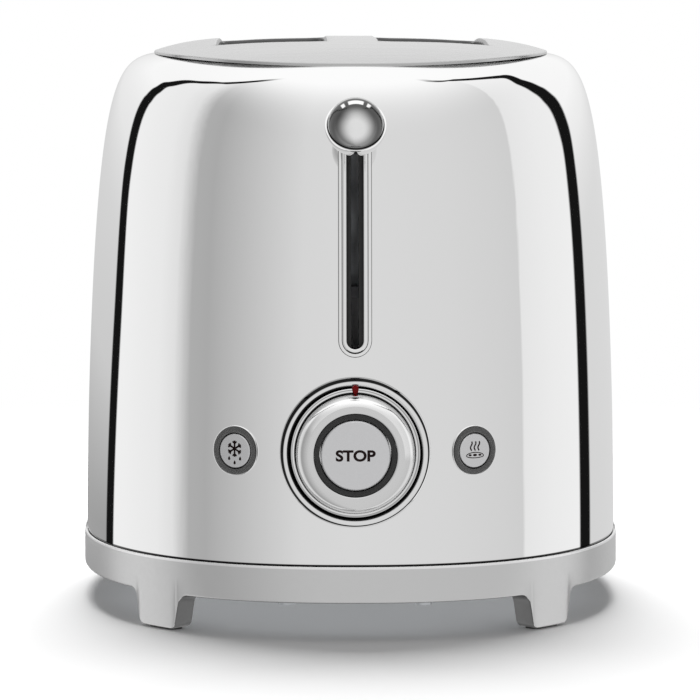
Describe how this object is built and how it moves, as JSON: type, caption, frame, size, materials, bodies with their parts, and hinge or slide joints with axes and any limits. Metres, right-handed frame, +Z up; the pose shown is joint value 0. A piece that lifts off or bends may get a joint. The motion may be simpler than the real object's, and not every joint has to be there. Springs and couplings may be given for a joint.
{
  "type": "two-slice toaster",
  "caption": "Rounded-oval chromed toaster with a domed top plate, side slots for bread, a ball lever in a front slot, a browning dial with a stop button, and round side buttons.",
  "frame": {"origin": "on the worktop, midway between the four legs", "axes": "+Z up; the lever and dial face -Y; +X to the right when one looks at the lever side"},
  "size_m": [0.1928, 0.3108, 0.2014],
  "materials": {
    "sleeve_chrome": "mirror polished steel sheet",
    "plate_steel": "brushed lengthwise",
    "base_silver": "satin silver paint",
    "pad_rubber": "matt",
    "galvanised": "bright sheet",
    "aluminised": "dull bright sheet",
    "trim_chrome": "bright plating",
    "black_plastic": "fine matt",
    "dial_metal": "fine satin, bright edges",
    "cap_metal": "fine satin",
    "smoke_ring": "smoked, translucent",
    "pointer_red": "glossy",
    "mica": "pale flaky sheet",
    "ribbon": "dull nickel alloy",
    "wire": "bright wire",
    "rod_steel": "ground",
    "brass": "sintered",
    "white_plastic": "fine matt",
    "board": "green laminate",
    "copper": "enamelled winding",
    "core_steel": "laminated",
    "spring_steel": "bright"
  },
  "bodies": {
    "housing": {"body_shell": "sleeve_chrome", "top_plate": "plate_steel", "base_skirt": "base_silver", "foot_pads": "pad_rubber", "bottom_plate": "galvanised", "bottom_screws": "galvanised", "chassis_screws": "galvanised", "chassis_front": "aluminised", "chassis_rear": "aluminised", "side_shield_left": "aluminised", "side_shield_right": "aluminised", "heater_card_left": "mica", "heater_card_center": "mica", "heater_card_right": "mica", "heater_ribbon_left": "ribbon", "heater_ribbon_center": "ribbon", "heater_ribbon_right": "ribbon", "slot_bezel": "trim_chrome", "slot_liner": "black_plastic", "guide_rods": "rod_steel", "rod_feet": "galvanised", "rod_bracket": "galvanised", "return_spring": "spring_steel", "electromagnet_core": "core_steel", "electromagnet_coil": "copper", "power_switch": "black_plastic", "dial_bezel": "trim_chrome", "dial_housing": "black_plastic", "stop_switch": "black_plastic", "dial_potentiometer": "black_plastic", "defrost_bezel": "trim_chrome", "reheat_bezel": "trim_chrome", "mode_switches": "black_plastic", "control_board": "board", "board_components": "black_plastic", "board_bracket": "galvanised", "board_screws": "galvanised", "terminal_block": "white_plastic", "cord_gland": "black_plastic"},
    "carriage": {"lever_knob": "trim_chrome", "lever_cup": "trim_chrome", "lever_arm": "galvanised", "carriage_slider": "galvanised", "slider_bushes": "brass", "keeper_plate": "core_steel", "rack_left": "aluminised", "rack_right": "aluminised"},
    "dial": {"dial_knob": "dial_metal", "dial_carrier": "dial_metal", "dial_hub": "dial_metal", "dial_sleeve": "black_plastic", "dial_pointer": "pointer_red", "light_ring": "smoke_ring"},
    "stop_button": {"stop_button": "cap_metal"},
    "defrost_button": {"defrost_button": "cap_metal"},
    "reheat_button": {"reheat_button": "cap_metal"},
    "crumb_tray": {"crumb_tray": "aluminised"},
    "guide_left_outer": {"guide_left_outer": "wire"},
    "guide_left_inner": {"guide_left_inner": "wire"},
    "guide_right_inner": {"guide_right_inner": "wire"},
    "guide_right_outer": {"guide_right_outer": "wire"}
  },
  "joints": [
    {"name": "lever_slide", "type": "slide", "parent": "housing", "child": "carriage", "axis": [0, 0, 1], "range_m": [-0.07, 0], "stiffness_N_per_m": 60, "springref_m": 0.1, "deforming": ["return_spring"]},
    {"name": "dial_turn", "type": "hinge", "parent": "housing", "child": "dial", "pos_m": [0, -0.147, 0.0635], "axis": [0, 1, 0], "range_deg": [-135, 135]},
    {"name": "stop_press", "type": "slide", "parent": "housing", "child": "stop_button", "axis": [0, 1, 0], "range_m": [0, 0.0015], "stiffness_N_per_m": 800},
    {"name": "defrost_press", "type": "slide", "parent": "housing", "child": "defrost_button", "axis": [0.4726, 0.8813, 0], "range_m": [0, 0.0015], "stiffness_N_per_m": 600},
    {"name": "reheat_press", "type": "slide", "parent": "housing", "child": "reheat_button", "axis": [-0.4726, 0.8813, 0], "range_m": [0, 0.0015], "stiffness_N_per_m": 600},
    {"name": "crumb_tray_slide", "type": "slide", "parent": "housing", "child": "crumb_tray", "axis": [0, 1, 0], "range_m": [0, 0.16]},
    {"name": "guide_left_outer_slide", "type": "slide", "parent": "housing", "child": "guide_left_outer", "axis": [1, 0, 0], "range_m": [0, 0.005]},
    {"name": "guide_left_inner_slide", "type": "slide", "parent": "housing", "child": "guide_left_inner", "axis": [-1, 0, 0], "range_m": [0, 0.005]},
    {"name": "guide_right_inner_slide", "type": "slide", "parent": "housing", "child": "guide_right_inner", "axis": [1, 0, 0], "range_m": [0, 0.005]},
    {"name": "guide_right_outer_slide", "type": "slide", "parent": "housing", "child": "guide_right_outer", "axis": [-1, 0, 0], "range_m": [0, 0.005]}
  ],
  "couplings": [
    {"joint": "guide_left_outer_slide", "follows": "lever_slide", "ratio": -0.0714},
    {"joint": "guide_left_inner_slide", "follows": "lever_slide", "ratio": -0.0714},
    {"joint": "guide_right_inner_slide", "follows": "lever_slide", "ratio": -0.0714},
    {"joint": "guide_right_outer_slide", "follows": "lever_slide", "ratio": -0.0714}
  ]
}
